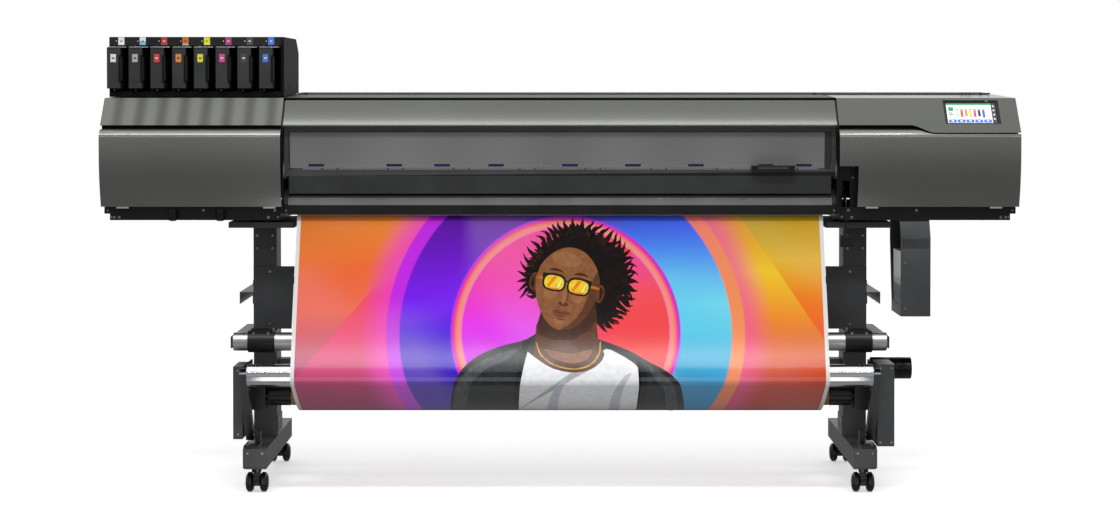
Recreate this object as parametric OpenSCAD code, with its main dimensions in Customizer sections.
// Wide print-and-cut machine on a castered stand: print engine with a hinged front window, eight ink
// trays on top, a supply roll behind, a swinging dancer roller and a powered take-up shaft in front.
// X runs across the machine, -Y is the operator's side and Z is up from the floor.

/* [Media] */
// Width of the sheet
media_w = 1625; // [900:5:1625]
// Radius of the wound supply roll
supply_r = 80; // [60:1:80]
// Radius of the wound take-up roll
takeup_r = 43; // [36:1:43]

/* [Machine] */
// Half of the overall width over the side covers
cover_end = 1411; // [1405:1:1420]
// Thickness of the folded sheet steel in the stand
plate_t = 3; // [2:0.5:4]
// Thickness of the moulded covers
skin_t = 2.5; // [2:0.5:3]

/* [Ink] */
// Number of ink trays
tray_count = 8; // [8:1:8]
// Distance from one tray to the next
tray_pitch = 67.4; // [66:0.1:67.4]

/* [Stand] */
// Radius of each caster wheel
wheel_r = 30; // [28:1:30]
// Half of the distance between the inner faces of the two stands
stand_in = 894; // [890:1:894]
// Width of a foot and a post
foot_w = 73; // [70:1:73]

/* [Hidden] */
$fn = 48;

// The feet run from Y = foot_front to Y = foot_back.
foot_front = -284;
foot_back = 366;
foot_low = 80;
foot_top = 140;
stand_out = stand_in + foot_w;
stand_mid = stand_in + foot_w / 2;
post_front = -30;
post_back = 84;
post_top = 806;
caster_y_front = -242;
caster_y_back = 324;
caster_trail = 14;
arm_hole_x = 1002;
arm_hole_y = -8;

// Rollers: centre Y, centre Z and radius.
bar_y = -184;
bar_z = 457;
bar_r = 28.5;
dancer_y = -333;
dancer_z = 371;
dancer_r = 34;
pivot_y = -189;
pivot_z = 168;
takeup_y = -69;
takeup_z = 273;
core_r = 29;
supply_y = 260;
supply_z = 609;
supply_core_r = 38;
feed_y = 61;
feed_r = 12;
pinch_r = 9;
pinch_shaft_y = 106;
pinch_shaft_z = 1000;
web_z = 961;
web_t = 1;
web_gap = 0.8;

// Covers.
side_in = 856;
frame_in = 852;
centre_end = 850;
rear_y = 316;
hinge_y = -138;
hinge_z = 1200;
top_front_y = -148;
top_front_z = 1209;
top_back_z = 1222;
slant_low_y = -221;
slant_low_z = 1126;
slant_angle = atan2(top_front_z - slant_low_z, top_front_y - slant_low_y);
slant_len = norm([top_front_y - slant_low_y, top_front_z - slant_low_z]);
cover_low_z = 875;
shoulder_z = 1114;
shoulder_r = 28;
nose_y = -244;
nose_low_z = 1047;
belly_r = 492;
belly_angle = 20.5;
panel_x0 = 1184;
panel_x1 = 1354;

// Load lever pivot.
lever_y = -100;
lever_z = 930;

// Carriages.
carriage_x = 1000;
carriage_w = 290;
cutter_x = -1120;
cutter_w = 100;
rail_end = 1380;

// Ink cabinet.
cab_x0 = -1405;
cab_x1 = -860;
cab_front = -104;
cab_back = 292;
cab_top = 1399;
tray_w = 39;
tray_front = -146;
tray_back = 196;
tray_low = 1238;
tray_top = 1367;

// ---- drawing helpers: a profile is a list of [Y, Z] points ----

// Runs a [Y, Z] profile across the machine from X = x0 to X = x1.
module across(x0, x1) {
    translate([x0, 0, 0])
        rotate([90, 0, 90])
            linear_extrude(x1 - x0)
                children();
}

// A box given by its lowest and highest corners.
module block(low, high) {
    translate(low)
        cube(high - low);
}

// A round bar along X.
module bar_x(x0, x1, y, z, r) {
    translate([x0, y, z])
        rotate([0, 90, 0])
            cylinder(h = x1 - x0, r = r);
}

// Draws the children on the right and, mirrored, on the left.
module both_sides() {
    children();
    mirror([1, 0, 0])
        children();
}

// Points on an arc about c, from angle a0 to a1.
function arc(c, r, a0, a1, n) = [for (i = [0:n]) c + r * [cos(a0 + (a1 - a0) * i / n), sin(a0 + (a1 - a0) * i / n)]];

// Unit normal of a path at point i, to the left of the way it runs.
function path_normal(p, i) =
    let (a = p[max(i - 1, 0)], b = p[min(i + 1, len(p) - 1)], t = (b - a) / norm(b - a)) [-t[1], t[0]];

// A path moved sideways by t.
function beside(p, t) = [for (i = [0:len(p) - 1]) p[i] + t * path_normal(p, i)];

// A strip of sheet along a path, between the offsets t0 and t1.
function strip(p, t0, t1) =
    let (a = beside(p, t0), b = beside(p, t1)) concat(a, [for (i = [len(b) - 1:-1:0]) b[i]]);

// ---- stand ----

module foot() {
    difference() {
        block([stand_in, foot_front, foot_low], [stand_out, foot_back, foot_top]);
        block([stand_in + plate_t, foot_front + plate_t, foot_low - 1],
            [stand_out - plate_t, foot_back - plate_t, foot_top - plate_t]);
        for (y = [post_front + 20, post_front + 40])
            translate([stand_in - 1, y, 118])
                rotate([0, 90, 0])
                    cylinder(h = plate_t + 2, r = 4);
    }
    for (y = [caster_y_front, caster_y_back])
        difference() {
            block([stand_in + plate_t, y - 32, foot_low - 4], [stand_out - plate_t, y + 32, foot_low]);
            translate([stand_mid, y, foot_low - 5])
                cylinder(h = 6, r = 6.05);
        }
}

module feet() {
    color("#3a3b3d")
        both_sides()
            foot();
}

module post() {
    difference() {
        block([stand_in, post_front, foot_top], [stand_out, post_back, post_top]);
        block([stand_in + plate_t, post_front + plate_t, foot_top - 1],
            [stand_out - plate_t, post_back - plate_t, post_top + 1]);
    }
    difference() {
        block([825, -150, post_top], [1028, 200, post_top + 18]);
        block([825 + plate_t, -150 + plate_t, post_top - 1], [1028 - plate_t, 200 - plate_t, post_top + 15]);
    }
    for (x = [902, 958])
        translate([x, 27, post_top + 18])
            cylinder(h = 8, r = 14);
}

module posts() {
    color("#3a3b3d")
        both_sides()
            post();
}

module stretcher() {
    color("#333436")
        difference() {
            block([-stand_in, 20, 300], [stand_in, 70, 380]);
            block([-stand_in - 1, 20 + plate_t, 300 + plate_t], [stand_in + 1, 70 - plate_t, 380 - plate_t]);
        }
}

module post_guards() {
    color("#38393b")
        both_sides()
            translate([0, post_front - 0.3, 0])
                rotate([90, 0, 0])
                    linear_extrude(2.5)
                        polygon([[837, 678], [stand_out, 678], [stand_out, 480], [847, 480]]);
}

module arm(y0, y1, top, out) {
    difference() {
        block([stand_out, y0, top - 37], [out, y1, top]);
        block([stand_out + plate_t, y0 - 1, top - 38], [out - plate_t, y1 + 1, top - plate_t]);
    }
}

module media_arms() {
    color("#3a3b3d")
        both_sides() {
            arm(post_front, 356, 596, 1011);
            difference() {
                arm(bar_y + bar_r + 1, 226, 469, 1022);
                translate([arm_hole_x, arm_hole_y, 460])
                    cylinder(h = 20, r = 4);
            }
        }
}

module guide_bar() {
    color("#a9abae")
        difference() {
            bar_x(-1007, 1007, bar_y, bar_z, bar_r);
            bar_x(-1010, 1010, bar_y, bar_z, bar_r - 3);
        }
}

module pivot_block() {
    difference() {
        union() {
            block([921, foot_front + 5, foot_top], [966, pivot_y + 20, foot_top + 8]);
            block([924, pivot_y - 16, foot_top], [940, pivot_y + 16, pivot_z + 14]);
        }
        bar_x(910, 942, pivot_y, pivot_z, 6.05);
    }
}

module roller_mounts() {
    color("#141415")
        both_sides() {
            pivot_block();
            difference() {
                union() {
                    bar_x(879, 962, bar_y, bar_z, bar_r + 5);
                    block([890, bar_y - 22, bar_z + 20], [955, bar_y + 26, bar_z + 37]);
                    block([892, bar_y, bar_z - 26], [950, post_front - 3.3, bar_z + 20]);
                }
                bar_x(870, 980, bar_y, bar_z, bar_r + 0.1);
            }
        }
}

module caster_fork(x, y) {
    axle_y = y + caster_trail;
    color("#101011") {
        translate([x, y, 64])
            cylinder(h = 11.5, r = 15);
        translate([x, y, 64])
            cylinder(h = 16, r = 6);
        difference() {
            union() {
                block([x - 8, y - 12, wheel_r - 8], [x + 8, y + 24, 66]);
                bar_x(x - 8, x + 8, axle_y, wheel_r, 13);
            }
            bar_x(x - 9, x + 9, axle_y, wheel_r, 4.05);
        }
    }
}

module caster_wheel(x, y) {
    axle_y = y + caster_trail;
    color("#0c0c0d") {
        bar_x(x - 14, x + 14, axle_y, wheel_r, 4);
        for (side = [-1, 1])
            translate([x + side * 21.5, axle_y, wheel_r])
                rotate([0, 90, 0])
                    rotate_extrude()
                        polygon([[0, -11], [wheel_r - 7, -11], [wheel_r - 4, -8], [wheel_r, -6],
                            [wheel_r, 6], [wheel_r - 4, 8], [wheel_r - 7, 11], [0, 11]]);
    }
}

// ---- print engine structure ----

module side_tray() {
    difference() {
        union() {
            block([863, -184, 832], [1389, 300, 852]);
            block([side_in, -184, 852], [1406, rear_y - 4, 873]);
        }
        block([866, -181, 835], [1386, 297, 874]);
    }
}

module lever_plate() {
    difference() {
        block([857, -166, 852], [930, -163, 1010]);
        block([873, -170, 860], [896, -160, 954]);
    }
}

module base_frame() {
    color("#1b1b1c") {
        both_sides()
            side_tray();
        difference() {
            block([-frame_in, 5, 850], [frame_in, 110, 905]);
            block([-frame_in - 1, 8, 853], [frame_in + 1, 107, 902]);
        }
        lever_plate();
    }
}

module side_frame() {
    difference() {
        across(frame_in, side_in)
            polygon([[-206, 852], [300, 852], [300, 1200], [-144, 1200], [-214, 1122], [-214, 1100], [-206, 1080]]);
        across(frame_in - 1, side_in + 1)
            polygon([[-130, 962], [34, 962], [34, 1034], [122, 1034], [122, 1170], [-130, 1170]]);
        bar_x(frame_in - 1, side_in + 1, feed_y, web_z - web_gap - feed_r, 8.05);
        bar_x(frame_in - 1, side_in + 1, hinge_y, hinge_z - 14, 4.05);
        bar_x(frame_in - 1, side_in + 1, pinch_shaft_y, pinch_shaft_z, 6.05);
    }
}

module side_frames() {
    color("#161617") {
        both_sides()
            side_frame();
        bar_x(side_in, 884, lever_y, lever_z, 5);
    }
}

// ---- covers ----

top_path = [[top_front_y + 18, top_front_z + 1.4], [rear_y, top_back_z]];

module top_cover() {
    color("#5b5d5c") {
        across(-centre_end, centre_end)
            polygon(strip(top_path, -skin_t, 0));
        difference() {
            across(-centre_end, 1390)
                polygon([[180, top_back_z - 5], [rear_y, top_back_z - 1.5], [rear_y, top_back_z + 4],
                    [180, top_back_z + 1]]);
            across(centre_end, 1391)
                polygon([[170, 1200], [330, 1200], [330, top_back_z + 0.6], [170, top_back_z - 3]]);
        }
    }
}

module rear_cover() {
    color("#4c4e4d")
        difference() {
            block([-1404, rear_y - 3, 876], [1404, rear_y, top_back_z - 4]);
            block([-frame_in, rear_y - 4, 870], [frame_in, rear_y + 1, 992]);
            block([1240, rear_y - 4, 900], [1300, rear_y + 1, 940]);
            block([1180, rear_y - 4, 905], [1204, rear_y + 1, 935]);
        }
}

// Front of the lower side covers: a long bellied curve up to the nose, then a tight shoulder.
lower_path = concat(
    arc([nose_y + belly_r, nose_low_z], belly_r, 180 + belly_angle, 180, 10),
    arc([nose_y + shoulder_r, shoulder_z - shoulder_r], shoulder_r, 180, 90, 6));

module lower_cover() {
    across(side_in, cover_end)
        polygon(strip(lower_path, -skin_t, 0));
    across(cover_end - skin_t, cover_end)
        polygon(concat(lower_path, [[rear_y - 4, shoulder_z], [rear_y - 4, cover_low_z]]));
}

// Lower edge of the right slanted panel, a soft step from one height to the other.
function step_drop(x) = x < 1073 ? 0 : x > 1150 ? 1 : (1 - cos(180 * (x - 1073) / 77)) / 2;
step_depth = 23;
step_xs = concat([side_in], [for (i = [0:14]) 1073 + 77 * i / 14], [cover_end]);

// A hood of slanted panel, top and outer wall; drop lowers the panel's front edge past the step.
module upper_cover(drop) {
    low = [top_front_y, top_front_z]
        - (slant_len + drop / sin(slant_angle)) * [cos(slant_angle), sin(slant_angle)];
    outline = [low, [top_front_y, top_front_z], [rear_y, top_back_z]];
    difference() {
        union() {
            across(side_in, cover_end)
                polygon(strip(outline, -skin_t, 0));
            across(cover_end - skin_t, cover_end)
                polygon(concat(outline, [[rear_y, low[1]]]));
        }
        if (drop > 0)
            translate([0, -150, 0])
                rotate([90, 0, 0])
                    linear_extrude(120)
                        polygon(concat([[side_in - 1, slant_low_z - 50], [side_in - 1, slant_low_z]],
                            [for (x = step_xs) [x, slant_low_z - drop * step_drop(x)]],
                            [[cover_end, slant_low_z - 50]]));
    }
}

module left_cover_upper() {
    color("#6d706c")
        mirror([1, 0, 0])
            upper_cover(0);
}

module left_cover_lower() {
    color("#4b4e4a")
        mirror([1, 0, 0])
            lower_cover();
}

module right_cover_upper() {
    color("#6d706c")
        difference() {
            upper_cover(step_depth);
            panel_place()
                block([panel_x0, 10, -20], [panel_x1, 106, 20]);
        }
}

module right_cover_lower() {
    color("#4b4e4a")
        difference() {
            lower_cover();
            translate([0, rear_y + 1, 0])
                rotate([90, 0, 0])
                    linear_extrude(600)
                        polygon(concat([[cover_end + 1, shoulder_z + 1], [1070, shoulder_z + 1]],
                            [for (x = step_xs) if (x > 1072) [x, shoulder_z + 1 - (step_depth - 7) * step_drop(x)]],
                            [[cover_end + 1, shoulder_z - step_depth + 8]]));
            block([side_in - 1, -260, 860], [914, -190, 1001]);
        }
}

// Frame of the slanted panel: X across, Y down the slope, Z out of it.
module panel_place() {
    translate([0, top_front_y, top_front_z])
        rotate([slant_angle + 180, 0, 0])
            mirror([0, 0, 1])
                children();
}

module touch_panel() {
    color("#111214")
        panel_place()
            translate([0, 0, -12]) {
                difference() {
                    block([panel_x0 + 0.5, 10.5, 0], [panel_x1 - 0.5, 105.5, 9]);
                    block([panel_x0 + 7, 17, 5], [panel_x1 - 7, 99, 10]);
                }
                block([panel_x0 + 8, 18, 5.2], [panel_x1 - 8, 98, 6.6]);
            }
}

cover_path = [[hinge_y - 14, hinge_z + 2], [slant_low_y + 2, slant_low_z + 2], [slant_low_y + 1, slant_low_z - 3],
    [-196, 1114], [-186, 982], [-186, 968]];

module front_cover() {
    color("#6a6d69")
        difference() {
            union() {
                across(-centre_end, centre_end)
                    polygon(strip(cover_path, 0, skin_t));
                both_sides()
                    across(centre_end - 12, centre_end)
                        polygon([[hinge_y - 6, hinge_z - 22], [hinge_y + 7, hinge_z - 22], [hinge_y + 7, hinge_z - 6],
                            [hinge_y - 14, hinge_z - 2], [slant_low_y + 6, slant_low_z + 2], [-190, 1112],
                            [-178, 1112]]);
                bar_x(-centre_end - 5, centre_end + 5, hinge_y, hinge_z - 14, 4);
            }
            block([-838, -205, 990], [838, -175, 1106]);
        }
}

module front_window() {
    color([0.16, 0.17, 0.18, 0.6])
        across(-838 + 0.5, 838 - 0.5)
            polygon(strip([[-195.4, 1105.5], [-186.7, 990.5]], 0, skin_t));
}

module cover_handle() {
    color("#121213")
        difference() {
            block([588, -216, 984], [722, -187.6, 1002]);
            block([604, -209, 983], [706, -195, 996]);
        }
}

module front_apron() {
    color("#222324") {
        across(-838, 838)
            polygon(strip([[-109, 966], [-140, 930], [-168, 911], [-194, 901], [-194, 879], [-190, 875], [-190, 849]],
                0, skin_t));
        both_sides()
            across(838, frame_in)
                polygon([[-140, 930], [-168, 911], [-190, 901], [-190, 852], [-170, 852], [-120, 930]]);
    }
}

// ---- sheet path: supply roll, platen, apron, dancer roller, take-up roll ----

// A point on a roller's wrap, where heading is how far the sheet has turned down from running forward.
function wrapped(c, r, heading) = c + r * [-sin(heading), cos(heading)];
function wrap(c, r, h0, h1, n) = [for (i = [0:n]) wrapped(c, r, h0 + (h1 - h0) * i / n)];
function bezier(a, b, c, d, n) =
    [for (i = [1:n]) let (t = i / n, s = 1 - t) s * s * s * a + 3 * s * s * t * b + 3 * s * t * t * c + t * t * t * d];

rear_turn = [236, web_z - 80];
front_turn = [-62, web_z - 35];
apron_turn = [-94.4, 814.7];
apron_heading = 50.9;
hang_heading = 66.87;
leave_heading = 151.2;
land_heading = 177.1;
dancer_c = [dancer_y, dancer_z];
takeup_c = [takeup_y, takeup_z];
wrap_r = dancer_r + web_gap;
leave = wrapped(dancer_c, wrap_r, leave_heading);
land = wrapped(takeup_c, takeup_r + web_gap, land_heading);
sag = 110;

upper_web = concat(
    [wrapped([supply_y, supply_z], supply_r + web_gap, -85)],
    wrap(rear_turn, 80, -85, 0, 10),
    wrap(front_turn, 35, 0, apron_heading, 8),
    wrap(apron_turn, 80, apron_heading, hang_heading, 4));
lower_web = concat(
    wrap(dancer_c, wrap_r, hang_heading, leave_heading, 10),
    bezier(leave, leave + sag * [-cos(leave_heading), -sin(leave_heading)],
        land - sag * [-cos(land_heading), -sin(land_heading)], land, 14));
platen_path = concat(
    wrap(rear_turn, 80, -80, 0, 10),
    wrap(front_turn, 35, 0, apron_heading, 8),
    wrap(apron_turn, 80, apron_heading, hang_heading - 6, 4));

module media_web() {
    color("#f4f4f2")
        across(-media_w / 2, media_w / 2)
            polygon(strip(concat(upper_web, lower_web), -web_t / 2, web_t / 2));
}

module platen() {
    skin = beside(platen_path, web_gap);
    color("#2a2a2b")
        difference() {
            across(-frame_in + 1, frame_in - 1)
                polygon(concat(skin, [[-90, 880], [-60, 910], [240, 910], [300, 880]]));
            block([-frame_in, feed_y - 14, 930], [frame_in, feed_y + 14, 970]);
            both_sides()
                block([centre_end - 15, hinge_y - 60, 840], [frame_in + 1, -60, 935]);
        }
}

// ---- feed and pinch ----

feed_z = web_z - web_gap - feed_r;
pinch_z = web_z + web_gap + pinch_r;
pinch_xs = [for (i = [0:7]) -735 + 210 * i];

module feed_roller() {
    color("#8b8d90") {
        bar_x(-frame_in + 4, frame_in - 4, feed_y, feed_z, feed_r);
        bar_x(-side_in, side_in, feed_y, feed_z, 8);
    }
}

module pinch_arms() {
    color("#2f3032") {
        bar_x(-side_in, side_in, pinch_shaft_y, pinch_shaft_z, 6);
        for (x = pinch_xs)
            for (side = [-1, 1])
                difference() {
                    across(x + side * 24 - 2, x + side * 24 + 2)
                        polygon([[pinch_shaft_y - 10, pinch_shaft_z - 6], [pinch_shaft_y + 10, pinch_shaft_z - 6],
                            [pinch_shaft_y + 10, pinch_shaft_z + 8], [pinch_shaft_y - 12, pinch_shaft_z + 8],
                            [feed_y - 8, pinch_z + 8], [feed_y - 8, pinch_z - 7], [feed_y + 8, pinch_z - 7]]);
                    bar_x(x + side * 24 - 3, x + side * 24 + 3, feed_y, pinch_z, 3.05);
                }
    }
}

module pinch_rollers() {
    color("#55575a")
        for (x = pinch_xs) {
            bar_x(x - 20, x + 20, feed_y, pinch_z, pinch_r);
            bar_x(x - 26, x + 26, feed_y, pinch_z, 3);
        }
}

module load_lever() {
    color("#1a1a1b") {
        difference() {
            across(876, 880)
                polygon([[lever_y - 12, lever_z - 12], [lever_y + 12, lever_z - 12], [lever_y + 12, lever_z + 12],
                    [lever_y - 12, lever_z + 12], [-222, 896], [-226, 890], [-226, 786], [-216, 786], [-216, 880],
                    [-150, 900]]);
            bar_x(875, 881, lever_y, lever_z, 5.05);
        }
        block([860, -232, 752], [898, -210, 787]);
    }
}

// ---- carriages ----

module guide_rail() {
    color("#97999c") {
        difference() {
            block([-rail_end, 40, 1040], [rail_end, 116, 1130]);
            block([-rail_end - 1, 43, 1043], [rail_end + 1, 113, 1127]);
            translate([1320, 30, 1100])
                rotate([-90, 0, 0])
                    cylinder(h = 20, r = 4.05);
        }
        block([-rail_end, 28, 1058], [rail_end, 40, 1074]);
    }
    color("#3b3d40")
        both_sides()
            block([rail_end - 60, 48, 835], [rail_end, 108, 1040]);
}

module drive_belt() {
    color("#101011")
        translate([0, 37, 1100])
            rotate([90, 0, 0])
                linear_extrude(8)
                    difference() {
                        union() {
                            square([2640, 32], center = true);
                            translate([-1320, 0])
                                circle(r = 16);
                            translate([1320, 0])
                                circle(r = 16);
                        }
                        square([2640, 29], center = true);
                        translate([-1320, 0])
                            circle(r = 14.5);
                        translate([1320, 0])
                            circle(r = 14.5);
                    }
}

module drive_pulley() {
    color("#b9bbbe")
        translate([1320, 37, 1100])
            rotate([90, 0, 0]) {
                cylinder(h = 8, r = 14.2);
                translate([0, 0, 8])
                    cylinder(h = 1.5, r = 18);
                translate([0, 0, -12])
                    cylinder(h = 12, r = 4);
            }
}

module print_carriage() {
    x0 = carriage_x;
    x1 = carriage_x + carriage_w;
    color("#2b2c2e")
        difference() {
            block([x0, -112, 985], [x1, 25, 1165]);
            block([x0 + 3, -109, 980], [x1 - 3, 22, 1162]);
        }
    color("#8d8f92")
        block([x0 + 30, 25, 1060], [x1 - 30, 27.6, 1072]);
    color("#c9a24a")
        for (x = [x0 + 45, x0 + 155])
            block([x, -90, 965], [x + 85, 5, 1000]);
}

module cutter_carriage() {
    color("#3c3e41")
        difference() {
            block([cutter_x, -70, 1000], [cutter_x + cutter_w, 25, 1140]);
            translate([cutter_x + 40, -45, 990])
                cylinder(h = 170, r = 9.05);
        }
    color("#8d8f92")
        block([cutter_x + 20, 25, 1060], [cutter_x + cutter_w - 20, 27.6, 1072]);
}

module blade_holder() {
    color("#c4c6c9")
        translate([cutter_x + 40, -45, 975]) {
            cylinder(h = 110, r = 9);
            translate([0, 0, -4])
                cylinder(h = 4, r = 3);
            translate([0, 0, 8])
                cylinder(h = 10, r = 13);
        }
}

// ---- ink ----

module ink_cabinet() {
    color("#1d1e1f")
        difference() {
            across(cab_x0, cab_x1)
                polygon([[cab_front, 1212], [cab_back, 1223], [cab_back, 1355], [cab_back - 70, cab_top],
                    [cab_front, cab_top]]);
            for (i = [0:tray_count - 1])
                block([cab_x0 + 2.5 + i * tray_pitch, cab_front - 1, 1229],
                    [cab_x0 + 2.5 + i * tray_pitch + 61, cab_back - 80, 1371]);
        }
}

module ink_tray(i) {
    x0 = cab_x0 + 0.5 + (i - 1) * tray_pitch;
    color("#3f4042") {
        block([x0, tray_front, tray_low], [x0 + tray_w, tray_front + 5, tray_top]);
        block([x0 + tray_w, tray_front, tray_top - 26], [x0 + tray_w + 3, cab_front - 2, tray_top]);
        block([x0 + tray_w, tray_front, tray_low], [x0 + tray_w + 3, cab_front - 2, tray_low + 20]);
        block([x0 + 4, tray_front + 5, tray_low], [x0 + tray_w, tray_back, tray_low + 3]);
        block([x0 + 4, tray_front + 5, tray_top - 3], [x0 + tray_w + 22, cab_front + 30, tray_top]);
        block([x0 + tray_w - 4, tray_front + 5, tray_low + 3], [x0 + tray_w, tray_back, tray_top - 3]);
        block([x0 + 4, tray_back - 4, tray_low + 3], [x0 + tray_w - 4, tray_back, tray_top - 3]);
    }
    color("#c8c9cb")
        block([x0 + 8, tray_front + 30, tray_low + 3.2], [x0 + tray_w - 5, tray_back - 8, tray_top - 12]);
}

// ---- drain ----

module drain_holder() {
    color("#38393b")
        difference() {
            across(1049, 1141)
                polygon([[-179, 832], [30, 832], [30, 760], [-9, 573], [-9, 536], [-204, 536], [-204, 778]]);
            across(1048, 1138)
                polygon([[-176, 828], [26, 828], [26, 762], [-12, 573], [-200, 573], [-200, 776]]);
            block([1052, -200, 535], [1138, -13, 570]);
        }
}

module drain_bottle() {
    color([0.9, 0.91, 0.92, 0.7]) {
        block([1051.5, -184, 574], [1134, -36, 735]);
        translate([1093, -110, 735])
            cylinder(h = 22, r = 24);
    }
}

// ---- take-up and dancer ----

module takeup_boxes() {
    color("#37383a") {
        block([-1005, -224, 160], [-976, -97, 384]);
        difference() {
            block([976, -224, 138], [1028, -97, 391]);
            block([1026, -180, 340], [1029, -160, 366]);
        }
    }
    color("#0f0f10")
        bar_x(976, 1102, -59, 360, 34);
    color("#18191a")
        both_sides()
            difference() {
                union() {
                    block([922, -97, 232], [976, post_front - 0.3, 322]);
                    block([970, -110, 232], [976, post_front - 0.3, 384]);
                }
                bar_x(900, 972, takeup_y, takeup_z, 10.05);
            }
}

module takeup_shaft() {
    color("#151516")
        both_sides() {
            bar_x(843, 913, takeup_y, takeup_z, 28);
            bar_x(800, 843, takeup_y, takeup_z, core_r - 4.2);
            bar_x(913, 970, takeup_y, takeup_z, 10);
        }
}

module takeup_roll() {
    color("#b08d5e")
        difference() {
            bar_x(-842.5, 842.5, takeup_y, takeup_z, core_r);
            bar_x(-843, 843, takeup_y, takeup_z, core_r - 4);
        }
    color("#efefec")
        difference() {
            bar_x(-media_w / 2, media_w / 2, takeup_y, takeup_z, takeup_r);
            bar_x(-media_w / 2 - 1, media_w / 2 + 1, takeup_y, takeup_z, core_r);
        }
}

arm_lean = atan2(dancer_y - pivot_y, dancer_z - pivot_z);
arm_len = norm([dancer_y - pivot_y, dancer_z - pivot_z]);

module dancer_arm() {
    difference() {
        union() {
            translate([945, pivot_y, pivot_z])
                rotate([-arm_lean, 0, 0])
                    difference() {
                        translate([0, -15, -8])
                            cube([24, 30, arm_len + 24]);
                        translate([2.5, -12.5, -20])
                            cube([30, 25, arm_len + 50]);
                    }
            bar_x(945, 969, dancer_y, dancer_z, 12);
        }
        bar_x(940, 962, dancer_y, dancer_z, 8.05);
    }
    bar_x(922, 969, pivot_y, pivot_z, 6);
}

module dancer_arms() {
    color("#8a8c8f")
        both_sides()
            dancer_arm();
}

module dancer_roller() {
    color("#d3d5d8") {
        difference() {
            bar_x(-944, 944, dancer_y, dancer_z, dancer_r);
            bar_x(-941, 941, dancer_y, dancer_z, dancer_r - 3);
        }
        bar_x(-961, 961, dancer_y, dancer_z, 8);
    }
}

module supply_roll() {
    color("#efefec")
        difference() {
            bar_x(-media_w / 2, media_w / 2, supply_y, supply_z, supply_r);
            bar_x(-media_w / 2 - 1, media_w / 2 + 1, supply_y, supply_z, supply_core_r);
        }
    color("#161617")
        both_sides() {
            bar_x(media_w / 2 - 40, media_w / 2 + 1, supply_y, supply_z, supply_core_r - 0.1);
            bar_x(media_w / 2 + 1, media_w / 2 + 9, supply_y, supply_z, 62);
            bar_x(media_w / 2 + 9, 1000, supply_y, supply_z, 12);
        }
}

// ---- rear electrics and fasteners ----

module power_inlet() {
    color("#0e0e0f")
        difference() {
            block([1241, rear_y - 30, 901], [1299, rear_y + 3, 939]);
            block([1257, rear_y - 18, 911], [1283, rear_y + 4, 929]);
        }
    color("#1b1b1c")
        difference() {
            block([1181, rear_y - 24, 906], [1203, rear_y + 2, 934]);
            block([1184, rear_y - 20, 909], [1200, rear_y + 3, 931]);
            bar_x(1180, 1204, rear_y - 8, 920, 2.05);
        }
}

module main_switch() {
    color("#8d1f1b") {
        across(1184.5, 1199.5)
            polygon([[rear_y - 14, 913], [rear_y + 1, 911], [rear_y + 4, 920], [rear_y + 3, 929], [rear_y - 14, 927]]);
        bar_x(1181.5, 1202.5, rear_y - 8, 920, 2);
    }
}

module screw_head(x, y, z) {
    translate([x, y, z])
        rotate([90, 0, 0])
            cylinder(h = 2.2, r = 4.5);
}

module cover_screws() {
    color("#8a8c8e") {
        both_sides() {
            screw_head(915, post_front - 2.8, 661);
            screw_head(915, post_front - 2.8, 495);
        }
        for (x = [-1375, -1360, -900, 900, 1360, 1375])
            screw_head(x, -184, 841);
        for (x = [-1100, -880, 890, 1100])
            screw_head(x, -184, 863);
    }
}

feet();
posts();
stretcher();
post_guards();
media_arms();
guide_bar();
roller_mounts();
caster_fork(-stand_mid, caster_y_front);  // caster_fork_fl
caster_fork(stand_mid, caster_y_front);  // caster_fork_fr
caster_fork(-stand_mid, caster_y_back);  // caster_fork_rl
caster_fork(stand_mid, caster_y_back);  // caster_fork_rr
caster_wheel(-stand_mid, caster_y_front);  // caster_wheel_fl
caster_wheel(stand_mid, caster_y_front);  // caster_wheel_fr
caster_wheel(-stand_mid, caster_y_back);  // caster_wheel_rl
caster_wheel(stand_mid, caster_y_back);  // caster_wheel_rr
base_frame();
side_frames();
top_cover();
rear_cover();
left_cover_upper();
left_cover_lower();
right_cover_upper();
right_cover_lower();
front_cover();
front_window();
cover_handle();
platen();
front_apron();
feed_roller();
pinch_arms();
pinch_rollers();
load_lever();
guide_rail();
drive_belt();
drive_pulley();
print_carriage();
cutter_carriage();
blade_holder();
ink_cabinet();
ink_tray(1);  // ink_tray_1
ink_tray(2);  // ink_tray_2
ink_tray(3);  // ink_tray_3
ink_tray(4);  // ink_tray_4
ink_tray(5);  // ink_tray_5
ink_tray(6);  // ink_tray_6
ink_tray(7);  // ink_tray_7
ink_tray(8);  // ink_tray_8
touch_panel();
drain_holder();
drain_bottle();
takeup_boxes();
takeup_shaft();
takeup_roll();
dancer_arms();
dancer_roller();
supply_roll();
media_web();
power_inlet();
main_switch();
cover_screws();
